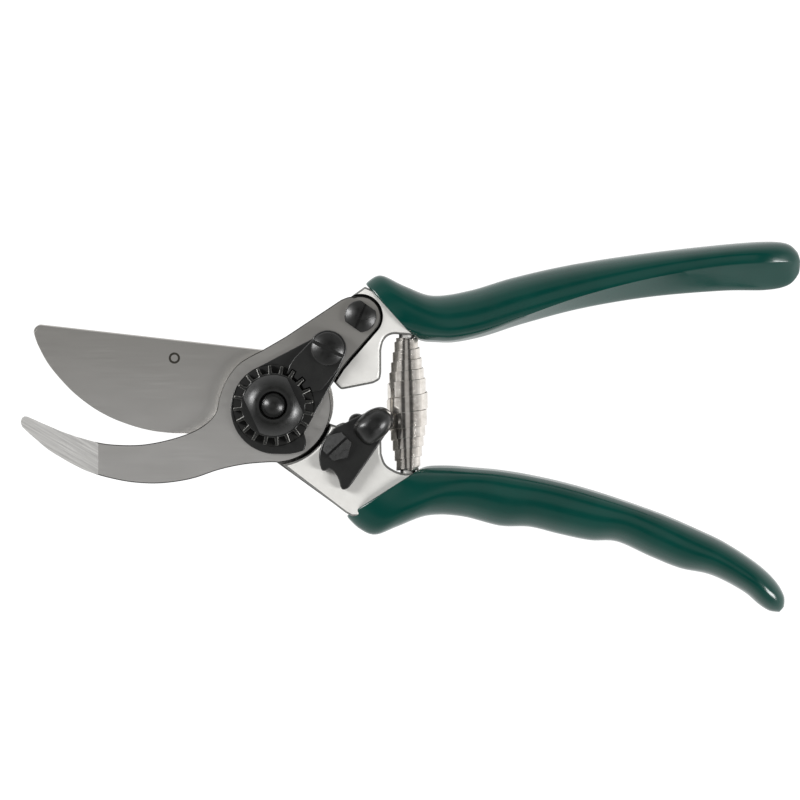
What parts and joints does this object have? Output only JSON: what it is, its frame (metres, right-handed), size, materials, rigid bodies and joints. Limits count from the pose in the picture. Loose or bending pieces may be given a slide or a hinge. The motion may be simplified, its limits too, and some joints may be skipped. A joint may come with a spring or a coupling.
{
  "type": "pruning shears",
  "caption": "Hand pruning shears with a curved bypass blade, a hooked counter-blade, dipped grips, a volute spring and a thumb catch.",
  "frame": {"origin": "centre of the pivot bolt's flat head, on the surface that the shears lie on", "axes": "+X from the pivot toward the grips, +Y toward the handle that carries the hook, +Z along the pivot axis toward the adjusting nut"},
  "size_m": [0.2156, 0.1025, 0.02],
  "materials": {
    "green_plastic": "glossy dipped plastic",
    "forged_aluminium": "satin, bead blasted",
    "blade_steel": "fine brushed",
    "blackened_steel": "black oxide, satin",
    "bright_steel": "polished",
    "bush_metal": "turned",
    "black_rubber": "matt"
  },
  "bodies": {
    "upper": {"upper_handle": "forged_aluminium", "upper_grip": "green_plastic", "counter_blade": "blade_steel", "pivot_bolt": "blackened_steel", "adjusting_nut": "blackened_steel", "lock_plate": "blackened_steel", "toothed_segment": "blackened_steel", "segment_screw": "blackened_steel", "arm_screw": "blackened_steel"},
    "lower": {"lower_handle": "forged_aluminium", "lower_grip": "green_plastic", "rubber_bumper": "black_rubber", "cutting_blade": "blade_steel", "bolt_washer": "bright_steel", "pivot_bush": "bush_metal", "blade_screw": "blackened_steel", "blade_pin": "bright_steel", "catch_washer": "bright_steel", "catch_bolt": "blackened_steel", "catch_nut": "blackened_steel", "volute_spring": "bright_steel"},
    "catch": {"thumb_catch": "blackened_steel"}
  },
  "joints": [
    {"name": "handle_pivot", "type": "hinge", "parent": "upper", "child": "lower", "pos_m": [0, 0, 0.0096], "axis": [0, 0, 1], "range_deg": [0, 21], "stiffness_Nm_per_rad": 1.2, "springref_deg": -17.19, "deforming": ["volute_spring", "rubber_bumper"]},
    {"name": "catch_pivot", "type": "hinge", "parent": "lower", "child": "catch", "pos_m": [0.0176, -0.0113, 0.0147], "axis": [0, 0, 1], "range_deg": [0, 30]}
  ]
}
